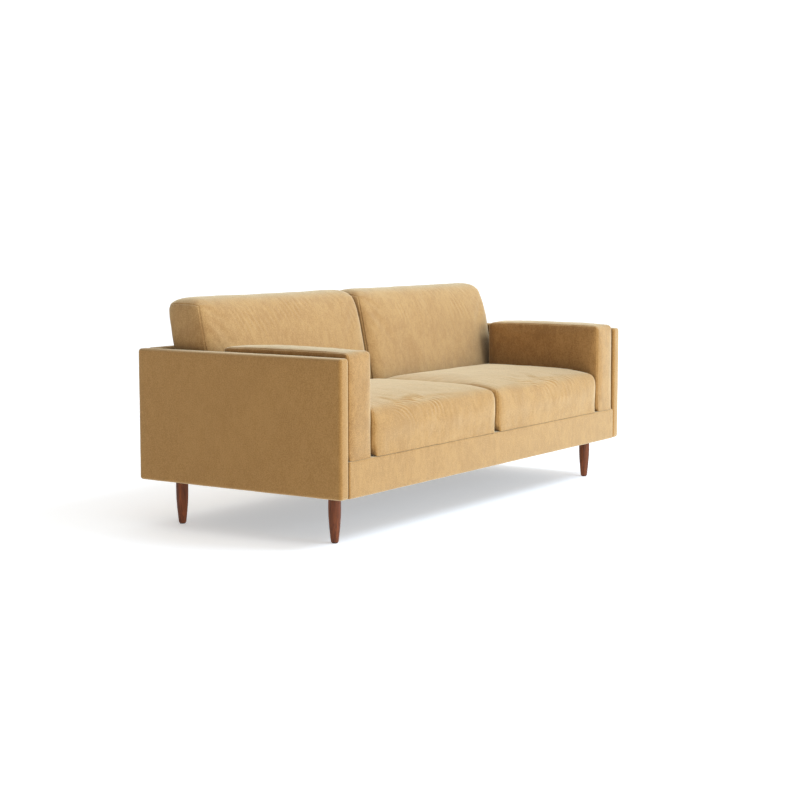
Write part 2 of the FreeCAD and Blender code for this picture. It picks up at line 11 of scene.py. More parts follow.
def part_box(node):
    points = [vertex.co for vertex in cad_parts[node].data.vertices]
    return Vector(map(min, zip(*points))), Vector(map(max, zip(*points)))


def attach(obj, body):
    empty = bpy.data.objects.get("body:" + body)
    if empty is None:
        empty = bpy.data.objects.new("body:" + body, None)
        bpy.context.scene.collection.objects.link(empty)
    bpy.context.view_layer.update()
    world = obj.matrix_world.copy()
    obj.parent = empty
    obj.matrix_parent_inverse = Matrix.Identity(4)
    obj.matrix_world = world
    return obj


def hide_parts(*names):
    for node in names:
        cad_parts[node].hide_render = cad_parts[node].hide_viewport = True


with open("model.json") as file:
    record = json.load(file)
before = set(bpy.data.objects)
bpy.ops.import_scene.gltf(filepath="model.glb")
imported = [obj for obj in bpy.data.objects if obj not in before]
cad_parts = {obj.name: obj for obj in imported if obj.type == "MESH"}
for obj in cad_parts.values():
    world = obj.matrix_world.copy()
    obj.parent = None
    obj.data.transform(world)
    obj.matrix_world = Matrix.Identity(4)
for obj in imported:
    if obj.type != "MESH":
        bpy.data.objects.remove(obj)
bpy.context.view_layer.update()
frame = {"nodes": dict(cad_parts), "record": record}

# Looks of the upholstered sofa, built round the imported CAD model.  Metres, same frame:
# +X to the right seen from the front, +Y to the rear, +Z up, floor at 0.

RECLINE = math.tan(math.radians(11.5))  # lean of the back cushions, run over rise


# Materials ---------------------------------------------------------------------------------

PAINTED_SHADE_REACH = 0.22  # how far the ambient occlusion that paints shade into the velvet's inner corners looks

COLOUR_A, COLOUR_B, COLOUR_OUT = 6, 7, 2  # a Mix node's colour sockets, which share their names


class Nodes:
    """A short way to write a material's node tree."""

    def __init__(self, name):
        self.material = bpy.data.materials.new(name)
        self.material.use_nodes = True
        self.tree = self.material.node_tree
        self.shader = self.tree.nodes["Principled BSDF"]
        self.position = self.add("ShaderNodeTexCoord").outputs["Object"]

    def add(self, kind, **values):
        node = self.tree.nodes.new(kind)
        for key, value in values.items():
            setattr(node, key, value)
        return node

    def link(self, source, target):
        self.tree.links.new(source, target)

    def stretched(self, scale, turn):
        """Object coordinates scaled by axis, which draws a pattern out where it is low, then turned."""
        node = self.add("ShaderNodeMapping")
        node.inputs["Scale"].default_value = scale
        node.inputs["Rotation"].default_value = turn
        self.link(self.position, node.inputs["Vector"])
        return node.outputs["Vector"]

    def noise(
        self, scale, detail=2.0, roughness=0.5, stretch=(1, 1, 1), distortion=0.0, turn=(0, 0, 0),
    ):
        node = self.add("ShaderNodeTexNoise")
        node.inputs["Scale"].default_value = scale
        node.inputs["Detail"].default_value = detail
        node.inputs["Roughness"].default_value = roughness
        node.inputs["Distortion"].default_value = distortion
        self.link(self.stretched(stretch, turn), node.inputs["Vector"])
        return node.outputs["Fac"]

    def spread(self, value, low, high, to_low=0.0, to_high=1.0):
        node = self.add("ShaderNodeMapRange")
        node.inputs["From Min"].default_value = low
        node.inputs["From Max"].default_value = high
        node.inputs["To Min"].default_value = to_low
        node.inputs["To Max"].default_value = to_high
        self.link(value, node.inputs["Value"])
        return node.outputs["Result"]

    def math(self, operation, first, second):
        node = self.add("ShaderNodeMath", operation=operation)
        for socket, value in zip(node.inputs, (first, second)):
            if isinstance(value, (int, float)):
                socket.default_value = value
            else:
                self.link(value, socket)
        return node.outputs["Value"]

    def mix(self, share, first, second):
        """A colour between two, each of them a linked socket or a plain (r, g, b)."""
        node = self.add("ShaderNodeMix", data_type="RGBA")
        self.link(share, node.inputs["Factor"])
        for socket, value in zip((node.inputs[COLOUR_A], node.inputs[COLOUR_B]), (first, second)):
            if isinstance(value, tuple):
                socket.default_value = (*value, 1.0)
            else:
                self.link(value, socket)
        return node.outputs[COLOUR_OUT]

    def bump(self, heights):
        """Chained bumps from (height, strength, distance) triples."""
        normal = None
        for height, strength, distance in heights:
            node = self.add("ShaderNodeBump")
            node.inputs["Strength"].default_value = strength
            node.inputs["Distance"].default_value = distance
            self.link(height, node.inputs["Height"])
            if normal:
                self.link(normal, node.inputs["Normal"])
            normal = node.outputs["Normal"]
        self.link(normal, self.shader.inputs["Normal"])

    def set(self, **values):
        """Plain values for the shader's inputs of those names."""
        for key, value in values.items():
            socket = self.shader.inputs[key.replace("_", " ")]
            socket.default_value = (*value, 1.0) if isinstance(value, tuple) else value

    def wire(self, **sources):
        """Linked values for the shader's inputs of those names."""
        for key, source in sources.items():
            self.link(source, self.shader.inputs[key.replace("_", " ")])


def scaled(colour, factor):
    return tuple(channel * factor for channel in colour)


def velvet(name, light, deep, blotches):
    """Short-pile velvet: patches where the nap lies differently, fine pile, a warm sheen.

    blotches is how far apart the light and the dark patches are, 1 being the full step from
    deep to light.  Inner corners are painted darker: an ambient occlusion node darkens the
    base colour there, which is painted shade.
    """
    n = Nodes(name)
    cloud = n.noise(8, detail=3, roughness=0.6, distortion=0.8)
    brushed = n.noise(
        52, detail=6, roughness=0.78, stretch=(1, 1, 0.45), distortion=0.5, turn=(0.5, 0.6, 0.4),
    )
    speckle = n.noise(230, detail=3, roughness=0.8)
    pile = n.noise(1300, detail=2, roughness=0.7)
    patch = n.math("ADD", n.math("MULTIPLY", cloud, 0.35), n.math("MULTIPLY", brushed, 0.65))
    patches = n.spread(patch, 0.4, 0.6, 0.5 - blotches / 2, 0.5 + blotches / 2)
    nap = n.math("ADD", patches, n.spread(speckle, 0.4, 0.6, -0.6, 0.6))
    base = n.mix(nap, deep, light)
    tone = n.add("ShaderNodeVectorMath", operation="SCALE")
    n.link(base, tone.inputs[0])
    # painted shade: ambient occlusion darkens the base colour in inner corners and crevices
    painted_crevice_shade = n.add("ShaderNodeAmbientOcclusion", samples=8)
    painted_crevice_shade.inputs["Distance"].default_value = PAINTED_SHADE_REACH
    shade = n.spread(painted_crevice_shade.outputs["AO"], 0.15, 0.75, 0.5, 1.0)
    n.link(n.math("MULTIPLY", n.spread(pile, 0.3, 0.7, 0.86, 1.12), shade), tone.inputs["Scale"])
    n.wire(Base_Color=tone.outputs["Vector"], Roughness=n.spread(nap, 0.2, 0.8, 0.95, 0.8))
    n.set(Specular_IOR_Level=0.0, Sheen_Weight=1.0, Sheen_Roughness=0.5, Sheen_Tint=(1.0, 0.895, 0.64))
    n.bump([(brushed, 0.12 * blotches, 0.004), (speckle, 0.12, 0.0012), (pile, 0.3, 0.0005)])
    return n.material


def plain_cloth(name, colour, thread):
    """Woven lining, webbing or dust cloth: two crossed sets of threads."""
    n = Nodes(name)
    wefts = n.noise(thread, detail=1, stretch=(1, 0.08, 0.08))
    warps = n.noise(thread, detail=1, stretch=(0.08, 1, 1))
    weave = n.math("MULTIPLY", wefts, warps)
    mottle = n.noise(20, detail=3)
    shade = n.spread(n.math("ADD", weave, n.math("MULTIPLY", mottle, 0.3)), 0.25, 0.6)
    n.wire(Base_Color=n.mix(shade, scaled(colour, 0.72), colour))
    n.set(Roughness=0.92, Specular_IOR_Level=0.12, Sheen_Weight=0.15)
    n.bump([(weave, 0.5, 0.0008)])
    return n.material


def wood(name, light, dark, roughness):
    """Straight-grained wood with its grain along Z, pores and darker growth bands."""
    n = Nodes(name)
    bands = n.noise(38, detail=5, roughness=0.62, stretch=(1, 1, 0.06), distortion=0.9)
    fibres = n.noise(420, detail=3, roughness=0.6, stretch=(1, 1, 0.03))
    pores = n.spread(n.noise(900, detail=1, stretch=(1, 1, 0.02)), 0.56, 0.7)
    grain = n.math("ADD", n.math("MULTIPLY", bands, 0.7), n.math("MULTIPLY", fibres, 0.3))
    body = n.mix(n.spread(grain, 0.35, 0.66), dark, light)
    n.wire(
        Base_Color=n.mix(n.math("MULTIPLY", pores, 0.55), body, scaled(dark, 0.35)),
        Roughness=n.spread(fibres, 0.3, 0.7, roughness + 0.08, roughness - 0.06),
    )
    n.set(Specular_IOR_Level=0.3)
    n.bump([(fibres, 0.2, 0.0004), (pores, 0.15, 0.0003)])
    return n.material


def foam(name, colour):
    """Foam or batting: small cells in two shades."""
    n = Nodes(name)
    cells = n.noise(700, detail=3, roughness=0.7)
    n.wire(Base_Color=n.mix(n.spread(cells, 0.3, 0.65), scaled(colour, 0.7), colour))
    n.set(Roughness=0.95, Specular_IOR_Level=0.1)
    n.bump([(cells, 0.6, 0.0012)])
    return n.material


def metal(name, colour, roughness):
    """Drawn or plated steel: brushed along Y, with duller stains."""
    n = Nodes(name)
    brushed = n.noise(300, detail=3, stretch=(1, 0.1, 1))
    stain = n.noise(25, detail=3)
    n.wire(
        Base_Color=n.mix(n.spread(stain, 0.35, 0.7), scaled(colour, 0.75), colour),
        Roughness=n.spread(brushed, 0.3, 0.7, roughness - 0.08, roughness + 0.12),
    )
    n.set(Metallic=1.0)
    n.bump([(brushed, 0.15, 0.0003)])
    return n.material


def plastic(name, colour, roughness):
    """Moulded plastic: a fine grain and paler scuffs."""
    n = Nodes(name)
    texture = n.noise(1100, detail=2)
    scuffs = n.noise(60, detail=4, roughness=0.7)
    scuffed = tuple(min(channel * 1.5 + 0.01, 1) for channel in colour)
    n.wire(
        Base_Color=n.mix(n.spread(scuffs, 0.4, 0.75), colour, scuffed),
        Roughness=n.spread(texture, 0.3, 0.7, roughness - 0.08, roughness + 0.08),
    )
    n.bump([(texture, 0.25, 0.0003)])
    return n.material


MATERIALS = {
    "velvet": velvet("velvet", (0.425, 0.226, 0.07), (0.325, 0.16, 0.044), 1.15),
    # a lighter copy of the velvet for the back cushions: painted light, making up for the shade that
    # falls on their faces
    "velvet_back_painted_light": velvet("velvet_back_painted_light", (0.475, 0.277, 0.106), (0.375, 0.2, 0.072), 1.2),
    # the arm pads' velvet: stronger nap patches, its own texture, and a darker deep colour that is
    # painted shade for their inner faces
    "velvet_brushed_painted_shade": velvet("velvet_brushed_painted_shade", (0.42, 0.219, 0.068), (0.3, 0.143, 0.038), 1.2),
    "velvet_even": velvet("velvet_even", (0.425, 0.221, 0.066), (0.325, 0.157, 0.04), 0.5),
    "lining": plain_cloth("lining", (0.34, 0.24, 0.13), 900),
    "dust_cloth": plain_cloth("dust_cloth", (0.02, 0.02, 0.021), 1200),
    "foam": foam("foam", (0.8, 0.74, 0.55)),
    "batting": foam("batting", (0.86, 0.85, 0.82)),
    "webbing": plain_cloth("webbing", (0.07, 0.055, 0.045), 600),
    "walnut": wood("walnut", (0.33, 0.085, 0.02), (0.06, 0.014, 0.004), 0.42),
    "frame_wood": wood("frame_wood", (0.62, 0.43, 0.24), (0.45, 0.28, 0.14), 0.7),
    "spring_steel": metal("spring_steel", (0.3, 0.31, 0.33), 0.38),
    "zinc_steel": metal("zinc_steel", (0.62, 0.62, 0.6), 0.34),
    "zip": plastic("zip", (0.25, 0.15, 0.06), 0.45),
    "glide": plastic("glide", (0.02, 0.017, 0.015), 0.55),
}


# Meshes ------------------------------------------------------------------------------------

TINY = 1e-9  # keeps a division by a length of nothing harmless


def spaced(low, high, cell, edge=0.0, edge_cells=0):
    """Grid lines from low to high, closer together within edge of both ends."""
    inner = np.linspace(low + edge, high - edge, max(2, round((high - low - 2 * edge) / cell)) + 1)
    if not edge_cells:
        return inner
    rim = np.linspace(0, edge, edge_cells + 1)[:-1]
    return np.concatenate([low + rim, inner, high - rim[::-1]])


def box_grid(lines):
    """Points and outward quads of a box's surface, given its grid lines on each axis.

    Also each point's (i, j, k) place on the grid, and the last place on each axis.
    """
    index, cells, quads = {}, [], []

    def corner(cell):
        if cell not in index:
            index[cell] = len(cells)
            cells.append(cell)
        return index[cell]

    last = [len(line) - 1 for line in lines]
    for axis in range(3):
        a, b = (axis + 1) % 3, (axis + 2) % 3
        for end in (0, last[axis]):
            for i in range(last[a]):
                for j in range(last[b]):
                    ring = []
                    for di, dj in ((0, 0), (1, 0), (1, 1), (0, 1)):
                        cell = [0, 0, 0]
                        cell[axis], cell[a], cell[b] = end, i + di, j + dj
                        ring.append(corner(tuple(cell)))
                    quads.append(ring if end else ring[::-1])
    cells = np.array(cells)
    points = np.stack([lines[axis][cells[:, axis]] for axis in range(3)], axis=1)
    return points, quads, cells, last


def mesh_object(name, points, faces, smooth=True):
    mesh = bpy.data.meshes.new(name)
    mesh.from_pydata([tuple(p) for p in points], [], faces)
    mesh.validate()
    if smooth:
        mesh.shade_smooth()
    thing = bpy.data.objects.new(name, mesh)
    bpy.context.scene.collection.objects.link(thing)
    return thing


def vertex_rows(thing, key):
    values = np.zeros(len(thing.data.vertices) * 3)
    thing.data.vertices.foreach_get(key, values)
    return values.reshape(-1, 3)


def coordinates(thing):
    return vertex_rows(thing, "co")


def normals(thing):
    return vertex_rows(thing, "normal")


def move_to(thing, points):
    thing.data.vertices.foreach_set("co", points.ravel())
    thing.data.update()


def apply_modifiers(thing):
    graph = bpy.context.evaluated_depsgraph_get()
    mesh = bpy.data.meshes.new_from_object(thing.evaluated_get(graph))
    thing.modifiers.clear()
    thing.data = mesh
    mesh.shade_smooth()


def subdivide(thing):
    modifier = thing.modifiers.new("fine", "SUBSURF")
    modifier.levels = modifier.render_levels = 1
    apply_modifiers(thing)


def ripple(thing, seed, sizes):
    """Moves the surface in and out by smooth noise; sizes are (wavelength, height) in metres."""
    points, outward = coordinates(thing), normals(thing)
    offset = Vector((seed * 7.1, seed * 3.3, seed * 5.7))
    height = np.zeros(len(points))
    for wavelength, amount in sizes:
        for i, p in enumerate(points):
            height[i] += amount * noise.noise(Vector(p) / wavelength + offset)
    move_to(thing, points + outward * height[:, None])


def dress(thing, material):
    thing.data.materials.clear()
    thing.data.materials.append(MATERIALS[material])


def finish_piece(thing, body, slot, nodes, look=None):
    """Material and body for a piece, and hides the CAD nodes it takes the place of.

    look is for one whose material isn't named like its slot.
    """
    dress(thing, look or slot)
    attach(thing, body)
    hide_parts(*nodes)


# Upholstered panels ------------------------------------------------------------------------

PANEL_CELL = 0.014
EDGE_CELLS = 4  # grid cells round each edge of a panel
FLATNESS = 0.35  # under 1, a swollen face is flat in the middle and falls away near its rim
PANEL_RIPPLES = ((0.16, 0.0006), (0.045, 0.0003))
STAND_PROUD = 0.001  # how far ripples may stand out past a swollen face
ARM_EDGE, BACK_EDGE, RAIL_EDGE = 0.012, 0.012, 0.007  # radius of the edges


def panel(name, node, others, radius, seed, swell, look="velvet_even"):
    """A closed upholstered board: rounded edges and faces that swell a little.

    swell is how far the faces -x, +x, -y, +y, -z, +z stand proud in the middle.
    """
    low, high = (np.array(corner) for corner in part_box(node))
    lines = [spaced(low[i], high[i], PANEL_CELL, radius, EDGE_CELLS) for i in range(3)]
    points, quads = box_grid(lines)[:2]
    core = np.clip(points, low + radius, high - radius)
    away = points - core
    length = np.linalg.norm(away, axis=1)
    away = away / np.maximum(length, TINY)[:, None]
    points = core + away * radius
    share = (core - low - radius) / np.maximum(high - low - 2 * radius, TINY)
    dome = np.clip(4 * share * (1 - share), 0, 1)
    for face, amount in enumerate(swell):
        axis, side = face // 2, (-1, 1)[face % 2]
        a, b = (axis + 1) % 3, (axis + 2) % 3
        facing = np.clip(away[:, axis] * side, 0, 1)
        points[:, axis] += side * amount * facing * (dome[:, a] * dome[:, b]) ** FLATNESS
    thing = mesh_object(name, points, quads)
    subdivide(thing)
    ripple(thing, seed, PANEL_RIPPLES)
    proud = np.array([amount + STAND_PROUD if amount else 0 for amount in swell])
    move_to(thing, np.clip(coordinates(thing), low - proud[::2], high + proud[1::2]))
    finish_piece(thing, "base", "velvet", [node, *others], look)


def build_panels():
    for side, seed, outer in (("left", 1, (0.0025, 0)), ("right", 2, (0, 0.0025))):
        panel(
            f"{side}_arm_upholstery", f"{side}_arm_cover", [f"{side}_arm_padding"],
            ARM_EDGE, seed, (*outer, 0.001, 0, 0, 0.003),
        )
    panel(
        "back_upholstery", "back_cover", ["back_padding"],
        BACK_EDGE, 3, (0, 0, 0, 0.0015, 0, 0.003),
    )
    panel(
        "front_rail_upholstery", "front_rail_cover", ["front_rail_padding"],
        RAIL_EDGE, 4, (0, 0, 0.0008, 0, 0, 0), "velvet",
    )


# Loose cushions ----------------------------------------------------------------------------


def upright(points, shear, base):
    """Takes the lean out of points, or puts it back with a negative shear."""
    moved = np.array(points, float)
    moved[..., 1] -= (moved[..., 2] - base) * shear
    return moved


AIM_DEPTH = 0.48  # how deep the rays aim, as a share of the solid's thinnest side
RAY_START = 0.5  # how far outside the box they start, as a share of that depth


def wrap(node, cell, shear):
    """A grid laid on the CAD solid's outer surface by rays towards its inside."""
    source = frame["nodes"][node].data
    corners = np.array([v.co for v in source.vertices])
    base = corners[:, 2].min()
    flat = upright(corners, shear, base)
    low, high = flat.min(0), flat.max(0)
    lines = [spaced(low[i], high[i], cell) for i in range(3)]
    points, quads, cells, last = box_grid(lines)
    inset = AIM_DEPTH * min(high - low)
    core = np.clip(points, low + inset, high - inset)
    start = upright(points + (points - core) * RAY_START, -shear, base)
    target = upright(core, -shear, base)
    tree = BVHTree.FromPolygons([tuple(c) for c in corners], [tuple(p.vertices) for p in source.polygons])
    placed = []
    for s, t in zip(start, target):
        hit = tree.ray_cast(Vector(s), Vector(t - s).normalized())[0]
        placed.append(hit if hit else Vector(s))
    return np.array([tuple(p) for p in placed]), quads, cells, last


def soften(points, quads, rounds):
    """Rounds a grid off by moving each point half way to the mean of its neighbours."""
    quads = np.array(quads)
    edges = np.concatenate([quads[:, [0, 1]], quads[:, [1, 2]], quads[:, [2, 3]], quads[:, [3, 0]]])
    edges = np.unique(np.sort(edges, axis=1), axis=0)
    count = np.zeros(len(points))
    np.add.at(count, edges.ravel(), 1)
    for _ in range(rounds):
        total = np.zeros_like(points)
        np.add.at(total, edges[:, 0], points[edges[:, 1]])
        np.add.at(total, edges[:, 1], points[edges[:, 0]])
        points = points + 0.5 * (total / count[:, None] - points)
    return points


def rings(cells, last, depth):
    """The two loops round the ends of the grid, depth cells in from its edge."""
    across = [np.minimum(cells[:, i], last[i] - cells[:, i]) for i in (1, 2)]
    ends = (cells[:, 0] == 0) | (cells[:, 0] == last[0])
    return ends & (np.minimum(*across) == depth)


# What sets the three kinds of cushion apart:
#   fill     how tightly it is stuffed, from 0, slack, to 1, tight
#   cap      how far the simulation may move a point
#   share    how much of that move is kept
#   rounds   how often its corners are softened
#   seam_in  grid cells from the rim of an end to its seam
#   sink     depth of the seam
#   creased  whether its low front edge is pressed to a crease on the rail
#   ends     width of each end that stays round
KINDS = {
    "seat": dict(
        fill=0.8, cap=0.006, share=0.6, rounds=10, seam_in=0, sink=0.0012,
        creased=True, ends=0.013, look="velvet",
    ),
    "back": dict(
        fill=0.75, cap=0.006, share=0.45, rounds=42, seam_in=2, sink=0.0028,
        creased=False, ends=0.06, look="velvet_back_painted_light",
    ),
    "arm_pad": dict(
        fill=0.85, cap=0.004, share=0.7, rounds=1, seam_in=0, sink=0.0015,
        creased=True, ends=0.008, look="velvet_brushed_painted_shade",
    ),
}
CUSHION_CELL = 0.009
OVERHANG = 0.006  # how far a cushion may stand out at its front and its top
ROOM = (np.array((0.0, OVERHANG, 0)), np.array((0.0, 0.0, OVERHANG)))
FRONT_REACH, FRONT_FADE, FRONT_INSET = 0.06, 0.03, 0.002  # the low front that is drawn out
PRESS_HEIGHT = 0.07  # height over which the weight of a cushion stops pressing it down
BOTTOM_ROUND = 0.025  # height over which a cushion's low edge is pressed out to a crease
CREASE = 0.017  # size of the low front corner that a cushion presses into a crease
BED_MARGIN = 2  # grid cells round the underside that aren't held down
SHRINK = 0.0015  # how much smaller a cushion is before it is stuffed
STUFFING = dict(
    quality=5, mass=0.3, tension_stiffness=20, compression_stiffness=20, shear_stiffness=4,
    bending_stiffness=2.5, shrink_min=-0.002, use_pressure=True, uniform_pressure_force=3,
)
SIMULATED_FRAMES = 20
CUSHION_RIPPLES = ((0.2, 0.0012), (0.09, 0.0012), (0.035, 0.0005))
WRINKLES_APART = 0.03
GATHER_HEIGHT, STRAIN_HEIGHT = 0.0018, 0.0008
GATHER_DROP, GATHER_SQUEEZE = 0.1, 1.6  # the rings' middle below the top edge, and their flatness
GATHER_RADIUS, GATHER_ANGLE = (0.28, 0.15), (0.9, 0.7)  # the part of the rings that shows, and its spread
# Each patch of strain: its strength, then its place and spread from the left end, and from the top.
STRAINS = ((1.0, (0.72, 0.2), (0.07, 0.08)), (0.6, (0.3, 0.14), (0.1, 0.07)))


def on_bed(points, low, high):
    """Keeps points inside the space that the cushion has, with its room to overhang."""
    return np.clip(points, low - ROOM[0], high + ROOM[1])


def fade(first, first_spread, second, second_spread):
    """A patch in two directions that fades away from its middle; a spread is (middle, width)."""
    one = (first - first_spread[0]) / first_spread[1]
    other = (second - second_spread[0]) / second_spread[1]
    return np.exp(-(one ** 2) - other ** 2)


class Cushion:
    """One loose cushion: gusset seams round both ends, swollen by a cloth simulation.

    shear is how far it leans back for its height.  arcs is how far from its left end the
    creases in its front are centred, or None where it has none.
    """

    def __init__(
        self, name, nodes, body, seed, fill, cap, share, rounds, seam_in, sink, creased, ends, look,
        shear=0.0, arcs=None,
    ):
        self.nodes = nodes
        self.body = body
        self.seed = seed
        self.fill = fill
        self.cap = cap
        self.share = share
        self.sink = sink
        self.creased = creased
        self.ends = ends
        self.look = look
        self.shear = shear
        self.arcs = arcs
        points, quads, cells, last = wrap(nodes[0], CUSHION_CELL, shear)
        self.base = points[:, 2].min()
        points = upright(points, shear, self.base)
        self.low, self.high = points.min(0), points.max(0)
        sharp, points = points, soften(points, quads, rounds)
        shrunk_low, shrunk_high = points.min(0), points.max(0)
        points = self.low + (points - shrunk_low) * (self.high - self.low) / (shrunk_high - shrunk_low)
        self.press_down(points, sharp)
        self.seam = rings(cells, last, seam_in)
        inner = [np.minimum(cells[:, i], last[i] - cells[:, i]) for i in (0, 1)]
        self.bed = (cells[:, 2] == 0) & (np.minimum(*inner) > BED_MARGIN)
        self.start = self.drawn_in(points)
        self.thing = mesh_object(name, upright(self.start, -shear, self.base), quads)

    def from_end(self, points):
        """How far each point is from the nearer end."""
        return np.minimum(points[:, 0] - self.low[0], self.high[0] - points[:, 0])

    def resting(self, points):
        """How firmly each point is pressed on what is below: the low edges, away from the ends."""
        away = np.clip((self.from_end(points) - 0.5 * self.ends) / self.ends, 0, 1)
        return away * np.clip(1.3 - (points[:, 2] - self.low[2]) / PRESS_HEIGHT, 0, 1)

    def press_down(self, points, sharp):
        """Brings the low edges of the softened points back to the sharp ones where they rest."""
        press = self.resting(sharp)
        points += press[:, None] * (sharp - points)
        if self.creased:
            setback = points[:, 1] - self.low[1]
            near = np.clip((FRONT_REACH - setback) / FRONT_FADE, 0, 1)
            points[:, 1] -= press * near * np.maximum(setback - FRONT_INSET, 0)
        height = points[:, 2] - self.low[2]
        lowered = np.where(height < BOTTOM_ROUND, height ** 2 / BOTTOM_ROUND, height)
        points[:, 2] += press * (lowered - height)

    def drawn_in(self, points):
        """The shape before it is stuffed: a little smaller, but as low where it lies."""
        middle, half = (self.low + self.high) / 2, (self.high - self.low) / 2
        moved = middle + (points - middle) * (1 - SHRINK / half)
        moved[self.bed, 2] = points[self.bed, 2]
        return moved

    def stuff(self):
        """Adds the cloth simulation, with the seams and the bottom held."""
        held = self.thing.vertex_groups.new(name="held")
        held.add([int(i) for i in np.flatnonzero(self.seam | self.bed)], 1.0, "REPLACE")
        settings = self.thing.modifiers.new("cloth", "CLOTH").settings
        for key, value in STUFFING.items():
            setattr(settings, key, value)
        settings.effector_weights.gravity = 0
        settings.vertex_group_mass = "held"

    def settle(self):
        """Takes the simulated shape, caps it and finishes the piece."""
        start = upright(self.start, -self.shear, self.base)
        if self.thing.modifiers:
            apply_modifiers(self.thing)
        moved = coordinates(self.thing) - start
        length = np.linalg.norm(moved, axis=1)
        kept = self.share * self.cap * np.tanh(length / self.cap) / np.maximum(length, TINY)
        self.keep_in(start + moved * kept[:, None])
        self.thing.vertex_groups.clear()
        sew(self.thing, self.seam, self.sink)
        subdivide(self.thing)
        if self.creased:
            self.crease()
        ripple(self.thing, self.seed, CUSHION_RIPPLES)
        if self.arcs:
            self.gather()
        if self.shear:
            self.strain()
        self.keep_in(coordinates(self.thing))
        finish_piece(self.thing, self.body, "velvet", self.nodes, self.look)

    def keep_in(self, points):
        """Gives the piece these points, as far as they are inside its space."""
        inside = on_bed(upright(points, self.shear, self.base), self.low, self.high)
        move_to(self.thing, upright(inside, -self.shear, self.base))

    def crease(self):
        """Presses the low front edge down on the rail, so that it meets it in a sharp crease."""
        points = coordinates(self.thing)
        forward, up = points[:, 1] - self.low[1], points[:, 2] - self.low[2]
        near = np.clip((forward + up) / CREASE, 0, 1) ** 2
        press = np.clip((self.from_end(points) - 0.3 * self.ends) / self.ends, 0, 1)
        points[:, 1] -= press * (1 - near) * forward
        points[:, 2] -= press * (1 - near) * up
        move_to(self.thing, points)

    def wander(self, points, drift_scale, break_scale):
        """Two smooth noises: one bends a set of creases, the other interrupts them."""
        drift = [noise.noise(Vector(p) * drift_scale + Vector((self.seed, 0, 0))) for p in points]
        breaks = [noise.noise(Vector(p) * break_scale + Vector((0, self.seed, 0))) for p in points]
        return np.array(drift), np.array(breaks)

    def gather(self):
        """Fine curved creases where the top turns down into the front, as rings about a point."""
        points, outward = coordinates(self.thing), normals(self.thing)
        down = (points[:, 1] - self.low[1]) + (points[:, 2] - self.high[2])
        along, across = points[:, 0] - self.low[0] - self.arcs, (down + GATHER_DROP) * GATHER_SQUEEZE
        radius, angle = np.hypot(along, across), np.arctan2(across, along)
        patch = fade(radius, GATHER_RADIUS, angle, GATHER_ANGLE)
        drift, breaks = self.wander(points, 9, 17)
        wave = np.sin(2 * math.pi * radius / WRINKLES_APART + 7.0 * drift)
        height = GATHER_HEIGHT * patch * wave * np.clip(0.45 + 2.2 * breaks, 0, 1.3)
        move_to(self.thing, points + outward * height[:, None])

    def strain(self):
        """Fine slanting creases near the top of a back cushion, most towards its right end."""
        points, outward = coordinates(self.thing), normals(self.thing)
        along, below = points[:, 0] - self.low[0], self.high[2] - points[:, 2]
        patch = sum(strength * fade(along, x, below, z) for strength, x, z in STRAINS)
        drift, breaks = self.wander(points, 7, 13)
        slant = along - 0.7 * below + 1.5 * below ** 2
        wave = np.sin(2 * math.pi * slant / WRINKLES_APART + 5.0 * drift)
        facing = np.clip(-outward[:, 1], 0, 1)
        height = STRAIN_HEIGHT * patch * wave * np.clip(0.5 + 2.0 * breaks, 0, 1.3) * facing
        move_to(self.thing, points + outward * height[:, None])


SEAM_WIDTH = 0.003
SEAM_RIDGE = 0.0005  # how far the cloth is raised on both sides of a seam


def sew(thing, seam, sink):
    """Splits the seam loops into narrow strips and sinks the middle of them."""
    mesh = bmesh.new()
    mesh.from_mesh(thing.data)
    mesh.verts.ensure_lookup_table()
    edges = [e for e in mesh.edges if seam[e.verts[0].index] and seam[e.verts[1].index]]
    result = bmesh.ops.bevel(
        mesh, geom=edges, offset=SEAM_WIDTH, segments=2, profile=0.5, affect="EDGES",
    )
    fresh = set(result["faces"])
    mesh.normal_update()
    sunk = [v for v in result["verts"] if all(f in fresh for f in v.link_faces)]
    raised = [v for v in result["verts"] if not all(f in fresh for f in v.link_faces)]
    for verts, amount in ((sunk, -sink), (raised, SEAM_RIDGE)):
        for v in verts:
            v.co += v.normal * amount
    mesh.to_mesh(thing.data)
    mesh.free()
    thing.data.update()


def simulate(cushions):
    for cushion in cushions:
        cushion.stuff()
    for frame_number in range(1, SIMULATED_FRAMES + 1):
        bpy.context.scene.frame_set(frame_number)


def build_cushions():
    cushions = []
    for side, seed, arcs in (("left", 11, 0.1), ("right", 23, 0.24)):
        cushions.append(Cushion(
            f"{side}_seat_velvet", [f"{side}_seat_cover", f"{side}_seat_wrap"],
            f"{side}_seat_cushion", seed, **KINDS["seat"], arcs=arcs,
        ))
        cushions.append(Cushion(
            f"{side}_back_velvet", [f"{side}_back_cushion_cover", f"{side}_back_cushion_fill"],
            f"{side}_back_cushion", seed + 1, **KINDS["back"], shear=RECLINE,
        ))
        cushions.append(Cushion(
            f"{side}_arm_pad_velvet", [f"{side}_arm_pad_cover", f"{side}_arm_pad_core"],
            f"{side}_arm_pad", seed + 2, **KINDS["arm_pad"],
        ))
    simulate(cushions)
    for cushion in cushions:
        cushion.settle()


# Stretched cloths --------------------------------------------------------------------------

CLOTH_CELL = 0.012
TACKS_APART = 0.045
TACK_PULL, PULL_REACH = 0.0003, 0.03  # depth of the dents at the tacks, and how far they reach in
SLACK = 0.0002  # depth of the faint waves all over


def along(profile, step):
    """Points every step along a polyline of (y, z) corners, with the outward normal at each."""
    rows, outward = [], []
    for start, end in zip(profile, profile[1:]):
        way = np.array(end) - np.array(start)
        length = np.linalg.norm(way)
        for share in np.linspace(0, 1, max(2, round(length / step)) + 1)[1 if rows else 0:]:
            rows.append(np.array(start) + share * way)
            outward.append(np.array((way[1], -way[0])) / length)
    return np.array(rows), np.array(outward)


